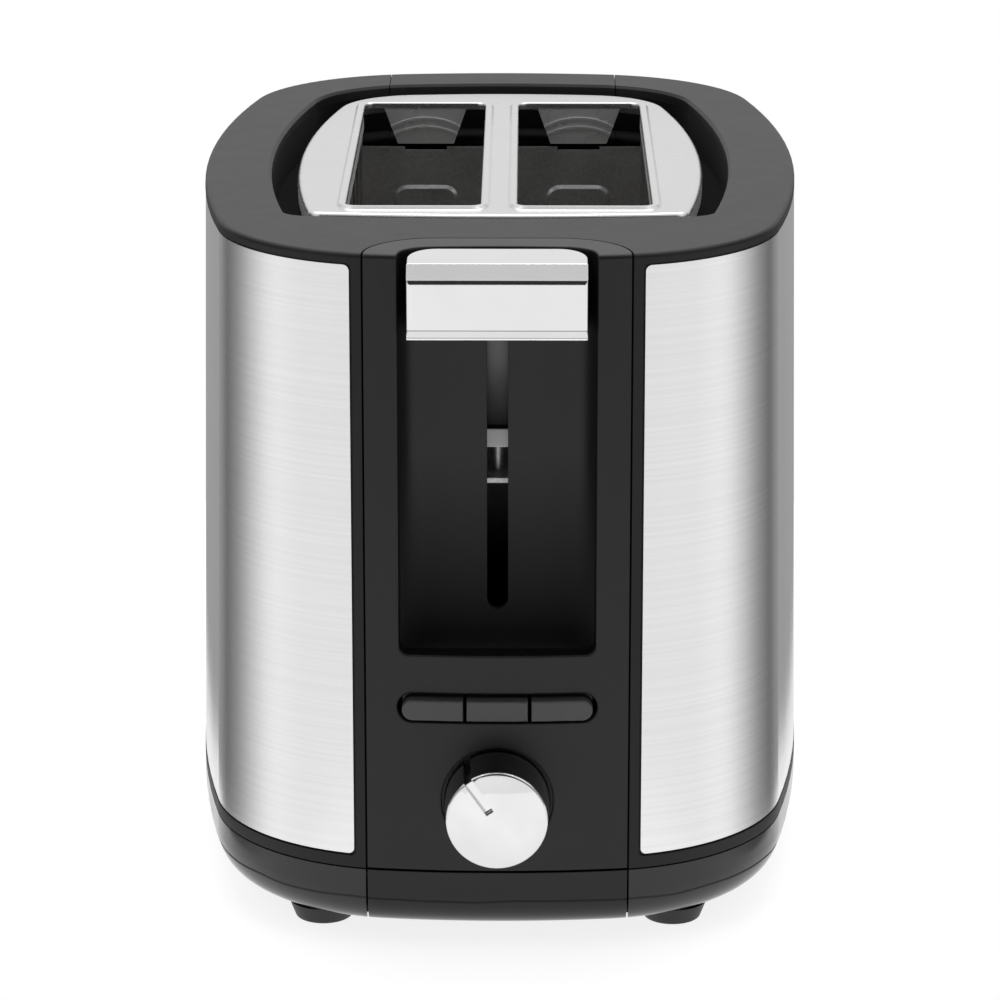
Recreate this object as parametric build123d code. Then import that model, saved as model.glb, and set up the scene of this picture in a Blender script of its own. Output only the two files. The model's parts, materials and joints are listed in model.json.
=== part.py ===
"""Two-slot pop up toaster. Millimetres, front is -Y, up is +Z, the feet stand on z = 0."""

import math
import os

from build123d import *

# Body envelope, measured at the seam between base and housing
body_width = 172.0
body_depth = 260.0
end_bow_radius = 250.0
side_bow_radius = 425.0
corner_radius = 54.0
draft_angle = 1.1
foot_height = 5.0
base_height = 18.0
housing_height = 167.0

# Walls and fits
shell_wall = 2.6
top_wall = 3.0
seam_gap = 0.5
back_seam_gap = 0.2
seat_clearance = 0.05
running_clearance = 0.05
slide_clearance = 0.3
lip_width = 3.2
lip_wall = 1.6

# Top ring and the well that the slot plate lies in
rim_edge_radius = 1.2
well_side_bow_radius = 402.4
well_end_bow_radius = 227.4
well_back_radius = 31.4
well_edge_chamfer = 0.8
well_depth = 14.0
well_wall = 2.0
well_front_bow = 430.0
well_corner_radius = 7.0
well_hole_clearance = 1.2
rib_x = 46.0
rib_width = 3.0
rib_drop = 4.5
rib_plate_gap = 1.0

# Bread slots and slot plate
slot_width = 36.5
slot_length = 143.8
slot_divider = 10.0
slot_centre_y = 9.8
slot_corner_radius = 3.0
slot_rim_width = 2.6
slot_rim_height = 0.7
slot_rim_taper = 45.0
slot_flange_depth = 5.0
slot_edge_radius = 0.8
plate_drop = 1.5
plate_sheet = 1.0
plate_flange_depth = 5.0
plate_side_gap = 7.3
plate_side_margin = 15.6
plate_back_margin = 18.7
plate_front_gap = 10.5
plate_front_margin = 9.5
plate_corner_radius = 4.0
plate_edge_radius = 1.6
tab_top_width = 25.0
tab_bottom_width = 17.0
tab_height = 11.8
tab_rib_radius = 20.0
tab_rib_count = 2
tab_rib_drop = 2.9
tab_rib_width = 0.8
tab_rib_height = 0.4

# Steel side panels
steel_edge_offset = 2.8
steel_bottom_margin = 3.2
steel_top_margin = 2.6
steel_corner_radius = 1.6
steel_sheet = 0.5
steel_set_in = 0.1
steel_gap = 0.55

# Front panel, back panel and lever channel
panel_half_width = 34.8
tongue_depth = 20.9
tongue_corner_radius = 19.0
recess_half_width = 25.8
recess_depth = 11.6
recess_floor_height = 60.0
recess_bow = 1.4
recess_corner_radius = 8.5
recess_floor_radius = 2.6
pocket_wall = 2.2
lever_slot_width = 5.5
lever_slot_floor_gap = 8.6
lever_slot_top_drop = 6.0
panel_edge_radius = 0.5

# Lever and carriage
handle_top_drop = 0.2
handle_top_fall = 1.2
handle_floor_gap = 5.4
handle_width = 46.4
handle_height = 20.8
handle_depth = 16.0
handle_wall_gap = 1.8
handle_back_radius = 7.5
handle_front_radius = 0.8
handle_top_bevel = 4.0
handle_bottom_bevel_height = 2.8
handle_bottom_bevel_depth = 1.1
handle_edge_radius = 0.4
handle_crease_radius = 2.0
handle_low_edge_radius = 0.5
arm_width = 4.0
arm_height = 10.0
arm_lift = 3.0
arm_reach = 13.0
carriage_sheet = 1.5
carriage_front_gap = 3.4
carriage_front_width = 40.0
carriage_front_height = 42.8
carriage_lip_height = 4.2
carriage_lip_reach = 1.4
carriage_leg_width = 10.0
bush_radius = 5.0
bush_length = 20.0
bush_groove = 1.0
rod_radius = 2.5
rod_spacing = 32.0
rod_behind_wall = 25.0
rod_bridge_gap = 5.0
rod_bridge_sheet = 2.0
rod_bridge_margin = 10.0
rod_overlap = 4.0
spring_wire_radius = 0.6
spring_coil_radius = 4.2
spring_turns = 13
armature_drop = 17.2
armature_sheet = 1.4
armature_width = 20.0
armature_depth = 20.0
armature_stem_radius = 3.0
magnet_gap = 0.5
core_radius = 4.5
coil_radius = 8.0
coil_margin = 3.0
coil_flange = 1.2
coil_flange_rim = 1.0
yoke_sheet = 2.0
yoke_width = 24.0
yoke_leg_height = 16.0
yoke_screw_margin = 1.0

# Bread racks and guards
rack_width = 14.0
rack_sheet = 1.2
rack_lip_height = 3.0
rack_drop = 26.2
rack_tongue_width = 4.0
rack_slot_clearance = 1.2
rack_end_gap = 5.0
rack_tongue_past = 0.8
guard_wire_radius = 0.6
guard_setback = 0.6
guard_wires = 5
guard_rail_low_height = 8.0
guard_rail_high_drop = 35.0
guard_weld_depth = 0.3

# Chassis and heaters
chassis_sheet = 0.6
chassis_plate_gap = 1.6
chassis_floor_gap = 14.5
front_chassis_setback = 3.0
rear_chassis_setback = 3.3
rear_edge_drop = 15.0
rear_edge_chamfer = 4.0
rear_notch_depth = 1.0
rear_notch_width = 12.8
bead_width = 20.0
bead_height = 9.0
bead_depth = 1.4
bead_taper = 30.0
bead_below_edge = 12.0
heater_slot_gap = 3.5
reflector_heater_gap = 2.0
heater_sheet = 0.8
heater_low_height = 12.0
heater_top_drop = 9.0
heater_tab_height = 11.0
winding_count = 9
winding_height = 1.6
winding_sheet = 0.3
winding_margin = 10.0

# Buttons, control board and browning knob
button_row_height = 45.5
button_opening_width = 52.4
button_opening_height = 7.8
button_row_gap = 1.1
button_split_gap = 0.9
button_proud = 2.4
button_edge_radius = 0.4
button_flange = 1.2
button_flange_sheet = 1.5
button_travel = 1.2
button_stem_radius = 2.0
board_depth = 13.5
board_sheet = 1.6
board_half_width = 31.6
board_low_height = 5.0
board_top_gap = 1.4
board_boss_radius = 2.8
board_boss_x = 28.6
board_boss_margin = 3.2
switch_size = 6.0
switch_body_depth = 4.5
switch_plunger_radius = 1.7
switch_plunger_depth = 0.8
knob_height = 19.7
knob_proud = 15.7
knob_base_radius = 14.3
knob_face_radius = 13.3
knob_edge_radius = 0.8
knob_dome_radius = 73.0
knob_wall = 3.0
knob_hub_radius = 5.5
knob_hub_recess = 1.0
knob_groove_width = 2.2
knob_groove_depth = 0.7
knob_groove_inner = 3.0
knob_rest_angle = -35.0
dish_radius = 14.8
dish_depth = 1.6
dish_wall = 2.2
dish_rim = 2.4
shaft_radius = 3.0
shaft_hole_clearance = 0.6
shaft_end_wall = 4.0
control_radius = 8.0
control_depth = 6.0

# Base, feet, crumb tray and cord gland
base_wall = 2.5
base_round = 12.0
base_seam_groove = 0.4
base_lip_height = 4.0
base_lip_root = 4.0
skirt_depth = 16.0
foot_x = 47.5
foot_setback = 27.0
foot_top_radius = 9.5
foot_bottom_radius = 7.6
foot_edge_radius = 1.0
foot_stem_radius = 2.5
post_radius = 4.5
post_inset_x = 20.0
post_inset_y = 50.0
post_height = 34.0
post_rib = 2.5
post_rib_gap = 1.0
screw_radius = 1.8
screw_head_radius = 3.4
screw_head_height = 2.4
screw_length = 14.0
screw_cup_wall = 2.2
screw_cup_depth = 8.0
board_screw_radius = 1.2
board_screw_head_radius = 2.2
board_screw_head_height = 1.4
board_screw_length = 6.0
chassis_post_gap = 0.8
chassis_post_depth = 8.0
rod_seat_radius = 6.0
rod_seat_depth = 8.0
tray_sheet = 0.8
tray_wall_height = 5.0
tray_side_margin = 2.5
tray_rail_height = 0.6
tray_rail_width = 2.0
tray_rail_inset = 5.0
tray_mouth_height = 7.6
tray_grip_width = 44.0
tray_grip_proud = 3.0
tray_grip_thickness = 2.0
gland_height = 18.0
gland_bore_radius = 3.6
gland_neck_radius = 6.0
gland_flange_radius = 8.5
gland_flange_thickness = 2.5
gland_neck_length = 9.0

# Mains switch
mains_switch_gap = 2.0
mains_switch_width = 9.0
mains_switch_depth = 12.0
mains_switch_height = 20.0
mains_plunger_height = 2.5
mains_plunger_radius = 1.8
mains_wing_margin = 2.2

# Levels and places worked out from the sizes above
seam_z = foot_height + base_height
rim_z = seam_z + housing_height
draft_slope = math.tan(math.radians(draft_angle))
base_floor_z = foot_height + base_wall
slot_front_y = slot_centre_y - slot_length / 2
slot_back_y = slot_centre_y + slot_length / 2
slot_x = (slot_divider + slot_width) / 2
plate_z = rim_z - plate_drop
plate_under_z = plate_z - plate_sheet
plate_front_y = slot_front_y - plate_front_margin
well_front_y = plate_front_y - plate_front_gap
well_floor_z = rim_z - well_depth
slot_outer_x = slot_divider / 2 + slot_width
well_half_width = slot_outer_x + plate_side_margin + plate_side_gap
well_back_y = slot_back_y + plate_back_margin + plate_side_gap
chassis_z = base_floor_z + chassis_floor_gap
heater_x = slot_outer_x + heater_slot_gap
reflector_x = heater_x + reflector_heater_gap
front_chassis_y = slot_front_y - front_chassis_setback
rear_chassis_y = slot_back_y + rear_chassis_setback
rear_edge_z = rim_z - rear_edge_drop
heater_low_z = chassis_z + heater_low_height
heater_high_z = rear_edge_z - heater_top_drop
guard_rail_low_z = chassis_z + guard_rail_low_height
guard_rail_high_z = plate_under_z - guard_rail_high_drop
steel_edge_x = panel_half_width + steel_edge_offset
recess_floor_z = seam_z + recess_floor_height
lever_slot_bottom_z = recess_floor_z + lever_slot_floor_gap
lever_slot_top_z = rim_z - lever_slot_top_drop
button_row_z = seam_z + button_row_height
knob_z = seam_z + knob_height
gland_z = seam_z + gland_height


def front_y(x, z):
    """Y of the body's front surface at x and z."""
    inset = (z - seam_z) * draft_slope
    return end_bow_radius - body_depth / 2 - math.sqrt((end_bow_radius - inset) ** 2 - x**2)


def plate_half_width(y):
    """Half width of the slot plate at y, where its bowed side runs."""
    radius = well_side_bow_radius - plate_side_gap
    return well_half_width - plate_side_gap - radius + math.sqrt(radius**2 - y**2)


chassis_half = plate_half_width(front_chassis_y - chassis_sheet) - chassis_sheet - chassis_plate_gap
chamber_half = max(chassis_half, reflector_x + chassis_sheet)
recess_wall_y = front_y(0, rim_z) + recess_depth
pocket_back_y = recess_wall_y + pocket_wall
tongue_back_y = front_y(0, rim_z) + tongue_depth
handle_back_y = recess_wall_y - handle_wall_gap
handle_front_y = handle_back_y - handle_depth
handle_top_z = rim_z - handle_top_drop
handle_bottom_z = handle_top_z - handle_height
lever_travel = handle_bottom_z - recess_floor_z - recess_floor_radius - handle_floor_gap
arm_z = handle_bottom_z + arm_lift
carriage_front_y = pocket_back_y + carriage_front_gap
carriage_top_z = arm_z + arm_height
carriage_z = carriage_top_z - carriage_front_height
rod_y_place = recess_wall_y + rod_behind_wall
rod_x = rod_spacing / 2
bush_low_z = carriage_z + carriage_sheet / 2 - bush_length / 2
rod_bridge_z = bush_low_z + bush_length + rod_bridge_gap
rack_z = carriage_z - rack_drop
rack_slot_half = rack_width / 2 + rack_slot_clearance
mains_switch_x = slot_x + rack_slot_half + mains_switch_gap + mains_switch_width / 2
carriage_half = mains_switch_x + mains_plunger_radius + mains_wing_margin
armature_z = carriage_z - armature_drop
magnet_top_z = armature_z - lever_travel - magnet_gap
rod_seat_z = chassis_z
knob_surface_y = front_y(0, knob_z)
knob_face_y = knob_surface_y - knob_proud
dish_floor_y = knob_surface_y + dish_depth
knob_back_y = dish_floor_y - slide_clearance
board_front_y = knob_surface_y + shell_wall + board_depth
board_back_y = board_front_y + board_sheet
board_low_z = seam_z + board_low_height
board_high_z = recess_floor_z - pocket_wall - board_top_gap
switch_end_y = board_front_y - switch_body_depth - switch_plunger_depth
tray_half = slot_outer_x + tray_side_margin
tray_z = base_floor_z + tray_rail_height + slide_clearance
grip_end_y = body_depth / 2 + tray_grip_proud
post_x = body_width / 2 - post_inset_x
post_y = body_depth / 2 - post_inset_y
foot_y = body_depth / 2 - foot_setback
screw_cup_z = foot_height + screw_cup_depth + screw_cup_wall
origin_y = (knob_face_y + grip_end_y) / 2
far = body_depth + body_width


def block(x_low, x_high, y_low, y_high, z_low, z_high):
    middle = Pos((x_low + x_high) / 2, (y_low + y_high) / 2, (z_low + z_high) / 2)
    return middle * Box(x_high - x_low, y_high - y_low, z_high - z_low)


def upright(x, y, radius, z_low, z_high):
    """A round bar along Z."""
    return Pos(x, y, (z_low + z_high) / 2) * Cylinder(radius, z_high - z_low)


def level(x, z, radius, y_low, y_high):
    """A round bar along Y."""
    return Pos(x, (y_low + y_high) / 2, z) * Rot(90, 0, 0) * Cylinder(radius, y_high - y_low)


def both_sides(shape):
    return [shape, mirror(shape, about=Plane.YZ)]


def four_corners(shape):
    return both_sides(shape) + [mirror(one, about=Plane.XZ) for one in both_sides(shape)]


def circles_meet(centre_a, radius_a, centre_b, radius_b, toward):
    """The meeting point of two circles that lies further toward the given direction."""
    apart = (centre_b - centre_a).length
    along = (radius_a**2 - radius_b**2 + apart**2) / (2 * apart)
    across = math.sqrt(radius_a**2 - along**2)
    axis = (centre_b - centre_a).normalized()
    foot = centre_a + axis * along
    side = Vector(-axis.Y, axis.X) * across
    return max(foot + side, foot - side, key=lambda point: point.dot(toward))


def bowed_outline(half_x, half_y, end_r, side_r, corner_r):
    """A plan with bowed ends and sides and tangent corner arcs."""
    end_centre = Vector(0, half_y - end_r)
    side_centre = Vector(half_x - side_r, 0)
    corner = circles_meet(end_centre, end_r - corner_r, side_centre, side_r - corner_r, Vector(1, 1))
    end_way = (corner - end_centre).normalized()
    side_way = (corner - side_centre).normalized()
    end_point = end_centre + end_way * end_r
    side_point = side_centre + side_way * side_r
    corner_point = corner + (end_way + side_way).normalized() * corner_r

    arcs = []
    for turn in (1, -1):
        start = (-turn * end_point.X, -turn * end_point.Y)
        front = (turn * end_point.X, -turn * end_point.Y)
        low = (turn * side_point.X, -turn * side_point.Y)
        high = (turn * side_point.X, turn * side_point.Y)
        back = (turn * end_point.X, turn * end_point.Y)
        arcs.append(ThreePointArc(start, (0, -turn * half_y), front))
        arcs.append(ThreePointArc(front, (turn * corner_point.X, -turn * corner_point.Y), low))
        arcs.append(ThreePointArc(low, (turn * half_x, 0), high))
        arcs.append(ThreePointArc(high, (turn * corner_point.X, turn * corner_point.Y), back))
    return make_face(arcs)


def body_outline(inset):
    """Plan of the body at the seam, drawn in by inset."""
    return bowed_outline(
        body_width / 2 - inset,
        body_depth / 2 - inset,
        end_bow_radius - inset,
        side_bow_radius - inset,
        corner_radius - inset,
    )


def prism(sketch, z_low, z_high, taper=0.0):
    """Extrude a plan face upward between two levels."""
    return extrude(Pos(0, 0, z_low) * sketch, amount=z_high - z_low, taper=taper)


def across(side_view, half):
    """Extrude a side view in y and z to both sides of x = 0."""
    return extrude(Plane.YZ * side_view, amount=half, both=True)


def drafted(inset, z_low, z_high):
    """The body's drafted outline drawn in by inset, between two levels."""
    return prism(body_outline(inset + (z_low - seam_z) * draft_slope), z_low, z_high, draft_angle)


def drafted_layer(outer, inner, z_low, z_high):
    return drafted(outer, z_low, z_high) - drafted(inner, z_low, z_high)


def well_outline(side_inset, front_inset, radius):
    """Plan of the well in the ring, drawn in at the sides and back and at the front."""
    bow = Pos(0, well_front_y + front_inset + well_front_bow) * Circle(well_front_bow)
    whole = bowed_outline(
        well_half_width - side_inset,
        well_back_y - side_inset,
        well_end_bow_radius - side_inset,
        well_side_bow_radius - side_inset,
        well_back_radius - side_inset,
    )
    face = whole & bow
    return fillet(face.vertices().sort_by(Axis.Y)[:2], radius)


def slot_outline(grow):
    size_x = slot_width + 2 * grow
    size_y = slot_length + 2 * grow
    return RectangleRounded(size_x, size_y, slot_corner_radius + grow)


def front_zone(inset):
    """Plan area of the front panel: a tongue with rounded corners that reaches back over the ring."""
    half = panel_half_width - inset
    back = tongue_back_y - inset
    zone = block(-half, half, -far, back, seam_z + inset, rim_z + top_wall)
    corners = zone.edges().filter_by(Axis.Z).sort_by(Axis.Y)[-2:]
    return fillet(corners, tongue_corner_radius - inset)


def back_zone(inset):
    half = panel_half_width - inset
    return block(-half, half, slot_back_y, far, seam_z + inset, rim_z + top_wall)


def steel_window(inset):
    """The right side window for a steel panel, as a prism along Y with rounded inner corners."""
    low = seam_z + steel_bottom_margin + inset
    high = rim_z - steel_top_margin - inset
    window = block(steel_edge_x + inset, far, -far, far, low, high)
    corners = window.edges().filter_by(Axis.Y).sort_by(Axis.X)[:2]
    return fillet(corners, steel_corner_radius)


def body_solid():
    body = drafted(0, seam_z, rim_z)
    return fillet(body.edges().group_by(Axis.Z)[-1], rim_edge_radius)


def over_well(point):
    in_width = abs(point.X) < well_half_width + well_wall
    in_length = well_front_y - well_wall < point.Y < well_back_y + well_wall
    return in_width and in_length


def shell_all_round():
    """Ring, well and walls in one, before the front and back panels are parted off."""
    shell = body_solid() - drafted(shell_wall, seam_z, rim_z - top_wall)
    skirt = well_outline(-well_wall, -well_wall, well_corner_radius + well_wall)
    shell = shell + prism(skirt, well_floor_z - well_wall, rim_z)
    opening = well_outline(0, 0, well_corner_radius)
    shell = shell - prism(opening, well_floor_z, rim_z)
    well_edges = [edge for edge in shell.edges().group_by(Axis.Z)[-1] if over_well(edge @ 0.5)]
    shell = chamfer(well_edges, well_edge_chamfer)
    hole = block(
        -chamber_half - well_hole_clearance,
        chamber_half + well_hole_clearance,
        front_chassis_y - chassis_sheet - well_hole_clearance,
        rear_chassis_y + chassis_sheet + well_hole_clearance,
        well_floor_z - 2 * well_wall,
        rim_z,
    )
    return shell - hole


full_shell = shell_all_round()


def seam_lips(side):
    """Strips inside the housing that back the seams of the front (-1) or back (+1) panel."""
    outer = shell_wall
    inner = shell_wall + slide_clearance + lip_wall
    top = rim_z - top_wall
    strip = block(panel_half_width - lip_width, panel_half_width + lip_width, 0, far, seam_z, top)
    backing = drafted_layer(outer, inner, seam_z, top) & strip
    behind = block(0, panel_half_width, 0, far, seam_z, rim_z)
    lip = backing - (drafted_layer(outer, outer + slide_clearance, seam_z, top) & behind)
    if side < 0:
        lip = mirror(lip, about=Plane.XZ)
    return both_sides(lip)


def screw_post():
    """A post for a base screw, tied to the side wall by a rib."""
    top = seam_z + post_height
    post = upright(post_x, post_y, post_radius, screw_cup_z, top)
    low = seam_z + base_lip_height + post_rib_gap
    rib = block(post_x, far, post_y - post_rib / 2, post_y + post_rib / 2, low, top)
    post = post + (rib & drafted(shell_wall / 2, seam_z, rim_z))
    return post - upright(post_x, post_y, screw_radius, screw_cup_z, screw_cup_z + screw_length)


def housing():
    shell = full_shell - front_zone(-seam_gap / 2) - back_zone(-back_seam_gap / 2)
    pocket = drafted_layer(0, steel_set_in + steel_sheet + seat_clearance, seam_z, rim_z) & steel_window(0)
    shell = shell - both_sides(pocket)
    shell = shell + seam_lips(-1) + seam_lips(1) + four_corners(screw_post())
    rib = block(rib_x - rib_width / 2, rib_x + rib_width / 2, 0, far, well_floor_z, rim_z - rib_drop)
    rear = rear_chassis_y + chassis_sheet + well_hole_clearance
    rib = rib & prism(well_outline(-well_wall / 2, 0, well_corner_radius), well_floor_z, rim_z)
    rib = rib & block(-far, far, rear, far, 0, rim_z)
    plate_space = well_outline(plate_side_gap - rib_plate_gap, 0, plate_corner_radius)
    rib = rib - prism(plate_space, well_floor_z, rim_z)
    return shell + both_sides(rib)


def steel_panel():
    sheet = drafted_layer(steel_set_in, steel_set_in + steel_sheet, seam_z, rim_z)
    return sheet & steel_window(steel_gap)


def recess_space():
    """The lever channel: a bowed back wall, rounded corners and a rounded floor."""
    half = recess_half_width
    side_y = recess_wall_y - recess_bow
    outline = [
        ThreePointArc((-half, side_y), (0, recess_wall_y), (half, side_y)),
        Polyline((half, side_y), (half, -far), (-half, -far), (-half, side_y)),
    ]
    face = make_face(outline)
    face = fillet(face.vertices().sort_by(Axis.Y)[-2:], recess_corner_radius)
    space = prism(face, recess_floor_z, rim_z + top_wall)
    return fillet(space.edges().group_by(Axis.Z)[0], recess_floor_radius)


def button_prism(width, height, y_low, y_high):
    """A stadium along Y on the button row."""
    face = Pos(0, y_high, button_row_z) * Rot(90, 0, 0) * SlotOverall(width, height)
    return extrude(face, amount=y_high - y_low, dir=(0, -1, 0))


def board_boss_places():
    heights = (board_low_z + board_boss_margin, board_high_z - board_boss_margin)
    return [(x, z) for x in (-board_boss_x, board_boss_x) for z in heights]


def surface_edges(shape, inset, half_width):
    """Edges within half_width of the middle that lie on the front surface, drawn in by inset."""
    found = []
    for edge in shape.edges():
        point = edge @ 0.5
        on_surface = abs(point.Y - inset - front_y(point.X, point.Z)) < seat_clearance
        in_width = abs(point.X) < half_width + seat_clearance
        if on_surface and in_width and point.Z > seam_z + seam_gap:
            found.append(edge)
    return found


def front_panel():
    panel = full_shell & front_zone(seam_gap / 2)
    half = recess_half_width + pocket_wall
    pocket = block(-half, half, -far, pocket_back_y, recess_floor_z - pocket_wall, rim_z)
    inside = drafted(shell_wall / 2, seam_z, rim_z - top_wall / 2)
    dish_back_y = dish_floor_y + dish_wall
    dish = level(0, knob_z, dish_radius + dish_rim, -far, dish_back_y) & inside
    panel = panel + (pocket & body_solid()) + dish
    for x, z in board_boss_places():
        panel = panel + (level(x, z, board_boss_radius, -far, board_front_y) & inside)
        hole_y = board_front_y - board_screw_length
        panel = panel - level(x, z, board_screw_radius, hole_y, board_front_y)
    panel = panel - recess_space()
    half_slot = lever_slot_width / 2
    slot_low = lever_slot_bottom_z + half_slot
    panel = panel - block(-half_slot, half_slot, -far, pocket_back_y, slot_low, lever_slot_top_z)
    panel = panel - level(0, slot_low, half_slot, -far, pocket_back_y)
    panel = panel - button_prism(button_opening_width, button_opening_height, -far, board_front_y)
    panel = panel - level(0, knob_z, dish_radius, -far, dish_floor_y)
    panel = panel - level(0, knob_z, shaft_radius + shaft_hole_clearance, -far, board_front_y)
    return fillet(surface_edges(panel, 0, recess_half_width), panel_edge_radius)


def back_panel():
    panel = full_shell & back_zone(back_seam_gap / 2)
    return panel - level(0, gland_z, gland_neck_radius + seat_clearance, 0, far)


def slot_places():
    return [Pos(-slot_x, slot_centre_y), Pos(slot_x, slot_centre_y)]


def slot_tab():
    """A tapered tab turned down at the far end of a slot."""
    half_top = tab_top_width / 2
    half_bottom = tab_bottom_width / 2
    corners = [(-half_top, 0), (half_top, 0), (half_bottom, -tab_height), (-half_bottom, -tab_height)]
    face = make_face(Polyline(*corners, close=True))
    tab = extrude(Rot(90, 0, 0) * face, amount=chassis_sheet, dir=(0, 1, 0))
    raised = extrude(Rot(90, 0, 0) * face, amount=tab_rib_height, dir=(0, -1, 0))
    for n in range(1, tab_rib_count + 1):
        rib = level(0, -n * tab_rib_drop - tab_rib_radius, tab_rib_radius, -tab_rib_height, 0)
        inner = tab_rib_radius - tab_rib_width
        rib = rib - level(0, -n * tab_rib_drop - tab_rib_radius, inner, -tab_rib_height, 0)
        tab = tab + (rib & raised)
    lean = math.degrees(math.atan((rear_chassis_setback - chassis_sheet) / tab_height))
    return Pos(0, slot_length / 2, plate_under_z) * Rot(lean, 0, 0) * tab


def slot_mouths(plate):
    """Edges where the slots open in the plate's raised rims."""
    top = plate_z + slot_rim_height
    rims = plate.faces().filter_by_position(Axis.Z, top, top)
    return [edge for rim in rims for edge in rim.inner_wires()[0].edges()]


def slot_plate():
    outline = well_outline(plate_side_gap, plate_front_gap, plate_corner_radius)
    inner = well_outline(
        plate_side_gap + chassis_sheet, plate_front_gap + chassis_sheet, plate_corner_radius - chassis_sheet
    )
    plate = prism(outline, plate_z - plate_flange_depth, plate_z)
    plate = fillet(plate.faces().sort_by(Axis.Z)[-1].edges(), plate_edge_radius)
    plate = plate - prism(inner, plate_z - plate_flange_depth, plate_under_z)
    flange_low = plate_z - slot_flange_depth
    for place in slot_places():
        rim = place * prism(slot_outline(slot_rim_width), plate_z, plate_z + slot_rim_height, slot_rim_taper)
        plate = plate + rim
        wall = place * prism(slot_outline(chassis_sheet), flange_low, plate_z)
        end_y = slot_length / 2 - tab_height
        open_ends = place * block(-slot_width, slot_width, end_y, far, 0, plate_under_z)
        plate = plate + (wall - open_ends)
        plate = plate - place * prism(slot_outline(0), flange_low, rim_z)
        plate = plate + place * slot_tab()
    return fillet(slot_mouths(plate), slot_edge_radius)


def front_chassis():
    """Front chassis plate with the slots that the rack arms travel in, and feet turned inward."""
    y = front_chassis_y
    plate = block(-chassis_half, chassis_half, y - chassis_sheet, y, chassis_z, plate_under_z)
    foot_y_high = y + chassis_post_depth / 2
    plate = plate + block(-chassis_half, chassis_half, y, foot_y_high, chassis_z, chassis_z + chassis_sheet)
    low = rack_z - rack_lip_height - lever_travel - rack_slot_clearance
    for x in (-slot_x, slot_x):
        plate = plate - block(x - rack_slot_half, x + rack_slot_half, y - chassis_sheet, y, low, carriage_z)
    return plate - heater_tabs(y - chassis_sheet, y)


def rear_edge():
    """The notched upper edge of the rear chassis plate behind one slot, centred on x = 0."""
    half = slot_width / 2 + slot_divider / 2
    notch = rear_notch_width / 2
    c = rear_edge_chamfer
    top = rear_edge_z
    low = rear_edge_z - rear_edge_chamfer
    dip = rear_edge_z - rear_notch_depth
    points = [(-half, low), (-half + c, top), (-notch, top), (-notch, dip), (notch, dip)]
    points += [(notch, top), (half - c, top), (half, low), (half, rim_z), (-half, rim_z)]
    face = make_face(Polyline(*points, close=True))
    return extrude(Rot(90, 0, 0) * face, amount=far, both=True)


def rear_chassis():
    """Rear chassis plate: notched edge behind each slot, pressed beads and guide slots for the racks."""
    y = rear_chassis_y
    plate = block(-chassis_half, chassis_half, y, y + chassis_sheet, chassis_z, rear_edge_z)
    foot_y_low = y - chassis_post_depth / 2
    plate = plate + block(-chassis_half, chassis_half, foot_y_low, y, chassis_z, chassis_z + chassis_sheet)
    half = rack_tongue_width / 2 + rack_slot_clearance
    low = rack_z - rack_lip_height - lever_travel - rack_slot_clearance
    high = rack_z + rack_lip_height
    bead_z = rear_edge_z - bead_below_edge - bead_height / 2
    bead_face = Rot(90, 0, 0) * SlotOverall(bead_width, bead_height)
    bead = extrude(bead_face, amount=bead_depth, dir=(0, -1, 0), taper=bead_taper)
    for x in (-slot_x, slot_x):
        plate = plate - Pos(x, 0, 0) * rear_edge()
        plate = plate + Pos(x, y, bead_z) * bead
        plate = plate - block(x - half, x + half, y, y + chassis_sheet, low, high)
    return plate - heater_tabs(y, y + chassis_sheet)


def heater_x_places():
    return {"left": -heater_x, "centre": 0.0, "right": heater_x}


def heater_tabs(y_low, y_high, grow=seat_clearance):
    """The tabs of the heater boards where they pass a chassis plate, or the holes for them."""
    tabs = []
    half = heater_sheet / 2 + grow
    for x in heater_x_places().values():
        for z in (heater_low_z + heater_tab_height, heater_high_z - 2 * heater_tab_height):
            tabs.append(block(x - half, x + half, y_low, y_high, z - grow, z + heater_tab_height + grow))
    return tabs


def heater_board(side):
    x = heater_x_places()[side]
    half = heater_sheet / 2
    board = block(x - half, x + half, front_chassis_y, rear_chassis_y, heater_low_z, heater_high_z)
    reach = front_chassis_y - chassis_sheet, rear_chassis_y + chassis_sheet
    zone = block(x - half, x + half, -far, far, 0, rim_z)
    for tab in heater_tabs(reach[0], reach[1], 0):
        board = board + (tab & zone)
    return board


def heater_winding(side):
    """Ribbons of the heater winding on the faces of a board that look at bread."""
    x = heater_x_places()[side]
    faces = {"left": (1,), "centre": (-1, 1), "right": (-1,)}[side]
    pitch = (heater_high_z - heater_low_z - 2 * winding_margin) / (winding_count - 1)
    ribbons = []
    for way in faces:
        near = x + way * heater_sheet / 2
        away = near + way * winding_sheet
        for n in range(winding_count):
            z = heater_low_z + winding_margin + n * pitch
            ribbon_low = z - winding_height / 2
            ribbon = block(
                min(near, away),
                max(near, away),
                front_chassis_y + winding_margin,
                rear_chassis_y - winding_margin,
                ribbon_low,
                ribbon_low + winding_height,
            )
            ribbons.append(ribbon)
    return Compound(ribbons)


def reflector():
    low = chassis_z + chassis_sheet
    away = reflector_x + chassis_sheet
    return block(reflector_x, away, front_chassis_y, rear_chassis_y, low, rear_edge_z)


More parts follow.
